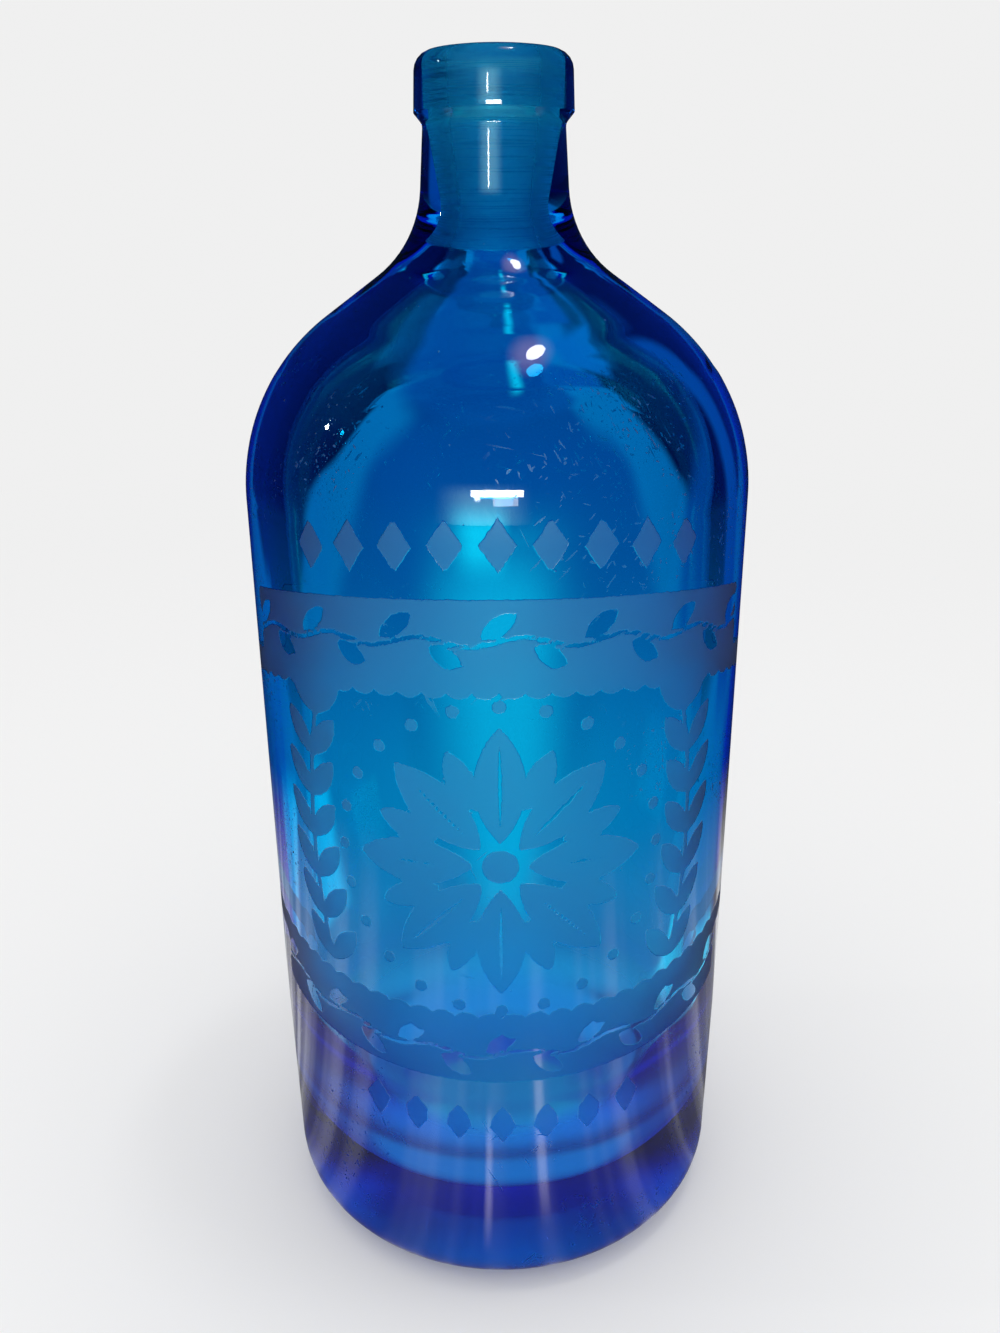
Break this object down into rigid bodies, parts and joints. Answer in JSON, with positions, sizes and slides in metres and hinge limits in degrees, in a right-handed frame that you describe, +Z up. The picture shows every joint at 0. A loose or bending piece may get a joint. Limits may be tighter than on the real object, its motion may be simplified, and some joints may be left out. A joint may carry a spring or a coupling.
{
  "type": "siphon bottle",
  "caption": "Heavy blown glass bottle of a soda siphon: straight body, domed shoulder, short neck with a collar for a clamp-on head and a ground bore.",
  "frame": {"origin": "centre of the bearing ring under the base, on the plane the bottle stands on", "axes": "+Z up the bottle's axis towards the lip, -Y towards the side with the etched panel"},
  "size_m": [0.102, 0.102, 0.247],
  "materials": {
    "blue_glass": "clear cobalt-turquoise blown glass, fire polished, etched panel on the front"
  },
  "bodies": {
    "root": {"glass_bottle": "blue_glass"}
  },
  "joints": []
}
